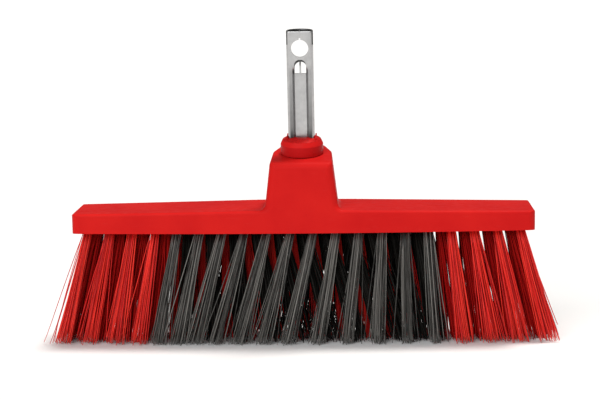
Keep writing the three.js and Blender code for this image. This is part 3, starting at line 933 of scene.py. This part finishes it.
def make_screw():
    """A pan-head screw along Y: a turned profile, with a cross recess sunk into the head where
    the arms' distance from its two centre lines is small."""
    head_front = screw_head_back - screw_head_height
    head_loop = rounded_profile([
        (0, screw_tip, 0), (screw_radius * 0.3, screw_tip, 0.2), (screw_radius, screw_tip + 2, 0.3),
        (screw_radius, head_front, 0), (screw_head_radius, head_front, 0.3),
        (screw_head_radius, screw_head_back - 0.8, 0.9),
        (screw_head_radius * 0.72, screw_head_back, 0.6), (0, screw_head_back, 0)])
    face = np.linspace(screw_head_radius * 0.66, 0, 14)[:, None]
    profile = np.concatenate([head_loop[:-1], np.hstack([face, screw_head_back + 0 * face])])

    def recessed(points):
        """Sinks the head's face into a cross with sloping sides."""
        x, y, z = points[..., 0], points[..., 1], points[..., 2]
        arm = np.minimum(np.abs(x), np.abs(z))
        reach = np.hypot(x, z) / (screw_head_radius * 0.6)
        sunk = smooth_step((0.75 - arm) / 0.4) * smooth_step((1.1 - reach) / 0.25)
        on_face = smooth_step((y - screw_head_back + 0.3) / 0.2)
        y = y - cross_depth * sunk * on_face
        return leaning(np.stack([x, y, z + screw_z], axis=-1))

    mesh = revolve("screw", profile, 72, "y", recessed)
    place("shank_screw_pan_head", mesh, screw_zinc, "screw_steel", "shank_screw", sharp=35)


make_screw()

# ---------------------------------------------------------------- bristles


def row_y(row, x, pitch):
    """Y of a row: the front row follows the bowed front, the back row is straight."""
    bow = front_y(x) - board_front
    return (row - (row_count + 1) / 2) * pitch + bow * (row_count - row) / (row_count - 1)


def tufts_in_row(row):
    """Odd rows are long; even rows sit between them with one tuft fewer."""
    return long_row if row % 2 == 1 else long_row - 1


def root_x(row, column):
    """Where a tuft leaves the board: even steps about the middle, a little wider in short
    rows."""
    gaps = tufts_in_row(row) - 1
    pitch = tuft_pitch + (short_row_spread / gaps if row % 2 == 0 else 0)
    return (column - gaps / 2) * pitch


def tip_x(row, column):
    """Where a tuft's middle meets the floor: end tufts splay outwards, and in the middle each
    row leans to its own side."""
    x = root_x(row, column)
    share = x / board_half_length
    side = lean_of_row[row - 1]
    row_share = x / root_x(row, tufts_in_row(row) - 1)
    slant = np.maximum(1 - row_share ** 2, 0) ** slant_fade * (1 + side * slant_skew * row_share)
    return x + end_splay * share * abs(share) + side * row_slant * slant


def tuft_radii(row, at_end):
    """A row's tuft radius where it leaves the board, and at the tips."""
    if row == red_row:
        return np.where(at_end, tuft_radius, red_row_radius), end_tip_radius
    if row in (1, row_count):
        return tuft_radius, np.where(at_end, end_tip_radius, outer_tip_radius)
    return np.where(at_end, tuft_radius, inner_tuft_radius), inner_tip_radius


def make_tufts(row, block, start, end):
    """One block of tufts. A bristle runs straight from its place in the socket to its place on
    the floor, with a shallow bow and a small curl at the tip. Its section is a small square
    that thins towards the tip. All bristles of the block are worked out as one array of
    (bristle, ring, corner) points."""
    random = np.random.default_rng(100 * row + block)
    column = np.repeat(np.arange(start, end), bristles_in_tuft)
    count = len(column)
    order = np.tile(np.arange(bristles_in_tuft), end - start)
    angle = order * math.pi * (3 - math.sqrt(5)) + random.uniform(0, 0.4, count)
    reach = np.sqrt((order + 0.5) / bristles_in_tuft)
    unit_x, unit_y = reach * np.cos(angle), reach * np.sin(angle)

    middle = root_x(row, column)
    at_end = np.abs(middle) > root_x(1, long_row - red_columns) - tuft_pitch / 2
    root_radius, tip_radius = tuft_radii(row, at_end)
    root = np.stack([middle + root_radius * unit_x,
                     row_y(row, middle, row_pitch) + root_radius * unit_y,
                     bristle_start + 0 * middle], axis=-1)

    stray = random.random(count) ** 5
    wander = random.normal(0, 1, count) * (usual_wander + stray_wander * stray)
    wander = np.clip(wander, -most_wander, most_wander)
    tip = tip_x(row, column) + tip_radius * unit_x + wander
    tip_y = (row_y(row, tip, tip_row_pitch) + tip_radius * unit_y
             + random.normal(0, 1, count) * (usual_scatter + stray_scatter * stray))
    low_y = row_y(1, tip, tip_row_pitch) - tip_row_pitch * 0.53
    high_y = row_y(row_count, tip, tip_row_pitch) + tip_row_pitch * 0.53
    short = (np.abs(random.normal(0, usual_shortness, count))
             + most_shortness * random.random(count) ** 7)
    foot = np.stack([tip, np.clip(tip_y, low_y, high_y), bristle_foot + short], axis=-1)

    share = np.array([0, 0.18, 0.4, 0.62, 0.82, 0.93, 1.0])
    rings = len(share)
    bow = np.sin(np.pi * share)
    curl = np.clip((share - 0.8) / 0.2, 0, 1) ** 2
    bow_x = random.normal(0, 0.5, count)[:, None] * bow
    bow_y = random.normal(0, 0.5, count)[:, None] * bow
    curl_x = random.normal(0, 0.5, count)[:, None] * curl
    curl_y = random.normal(0, 0.4, count)[:, None] * curl
    path = root[:, None] + (foot - root)[:, None] * share[:, None]
    path = path + np.stack([bow_x + curl_x, bow_y + curl_y, 0 * bow_x], axis=-1)

    thick = bristle_radius * random.uniform(0.85, 1.12, count)[:, None] * (1 - 0.3 * share ** 3)
    corner = np.arange(4) * np.pi / 2 + random.uniform(0, np.pi / 2, count)[:, None]
    around = np.stack([np.cos(corner), np.sin(corner), 0 * corner], axis=-1)
    points = path[:, :, None] + thick[:, :, None, None] * around[:, None]
    sides = grid_quads(rings, 4, columns_closed=True)[:, ::-1]
    start_cap = np.arange(4)
    end_cap = 4 * rings - 1 - start_cap
    bristle = np.concatenate([sides, [start_cap, end_cap]])
    quads = (bristle[None] + (np.arange(count) * rings * 4)[:, None, None]).reshape(-1, 4)

    name = f"tufts_row_{row}_block_{block}"
    mesh = mesh_of(name + "_bristles", points.reshape(-1, 3), quads)
    strand = np.repeat(random.random(count), rings * 4)
    along = np.broadcast_to(share[None, :, None], points.shape[:3])
    for kind, values in (("strand", strand), ("along", along)):
        carried = mesh.attributes.new(kind, "FLOAT", "POINT")
        carried.data.foreach_set("value", values.astype(np.float32).ravel())
    red = row == red_row or block in (1, 5)
    filament = (red_filament if red else black_filament)[spot_of_row[row - 1]]
    place(name + "_bristles", mesh, filament, "red_bristle" if red else "black_bristle", name,
          sharp=120)


def make_all_tufts():
    """Every row, cut into blocks that never mix the two colours."""
    for row in range(1, row_count + 1):
        count = tufts_in_row(row)
        last_black = count - red_columns
        cuts = [0, *range(red_columns, last_black, tufts_in_block), last_black, count]
        for block in range(1, len(cuts)):
            make_tufts(row, block, cuts[block - 1], cuts[block])


make_all_tufts()

# ---------------------------------------------------------------- floor, light and camera


def make_floor():
    """A wide pale floor that reaches past every horizon."""
    corners = np.array([[-1, -1, 0], [1, -1, 0], [1, 1, 0], [-1, 1, 0]]) * floor_reach
    mesh = mesh_of("floor", corners, np.array([[0, 1, 2, 3]]))
    floor = bpy.data.objects.new("floor", mesh)
    bpy.context.scene.collection.objects.link(floor)
    material, _, shader = new_material("floor_white")
    shader.inputs["Base Color"].default_value = (0.88, 0.88, 0.88, 1)
    shader.inputs["Roughness"].default_value = 0.9
    shader.inputs["Specular IOR Level"].default_value = 0.1
    mesh.materials.append(material)


def soft_sun(name, from_direction, strength, spread, colour=(1, 1, 1)):
    """A broad even light from one direction, as from a large soft box far away."""
    lamp = bpy.data.lights.new(name, "SUN")
    lamp.energy = strength
    lamp.angle = math.radians(spread)
    lamp.color = colour
    light = bpy.data.objects.new(name, lamp)
    light.rotation_euler = Vector(from_direction).to_track_quat("Z", "Y").to_euler()
    bpy.context.scene.collection.objects.link(light)


def make_light():
    """A dim white studio all round, one soft light from above and a broader one from the front
    left."""
    world = bpy.data.worlds.new("studio")
    world.use_nodes = True
    studio = world.node_tree.nodes["Background"]
    studio.inputs["Color"].default_value = (1, 1, 1, 1)
    studio.inputs["Strength"].default_value = 0.18
    bpy.context.scene.world = world
    soft_sun("top", (0.22, 0.11, 1.0), 2.5, 14, (1.0, 0.98, 0.94))
    soft_sun("front", (-0.36, -0.9, 0.56), 2.0, 50)


def make_camera():
    """A long lens a little above the broom's front, turned slightly from straight on."""
    sideways, level = math.sin(camera_azimuth), math.cos(camera_elevation)
    forward = Vector((-sideways * level, math.cos(camera_azimuth) * level,
                      -math.sin(camera_elevation)))
    right = forward.cross(Vector((0, 0, 1))).normalized()
    up = right.cross(forward)
    across = math.cos(camera_roll) * right + math.sin(camera_roll) * up
    upward = -math.sin(camera_roll) * right + math.cos(camera_roll) * up
    camera_data = bpy.data.cameras.new("camera")
    camera_data.sensor_width = 36
    camera_data.lens = camera_lens
    camera = bpy.data.objects.new("camera", camera_data)
    turn = Matrix((across, upward, -forward)).transposed().to_4x4()
    camera.matrix_world = Matrix.Translation(camera_target - forward * camera_distance) @ turn
    bpy.context.scene.collection.objects.link(camera)
    bpy.context.scene.camera = camera


make_floor()
make_light()
make_camera()
bpy.context.scene.view_settings.view_transform = "Standard"

bpy.context.view_layer.update()
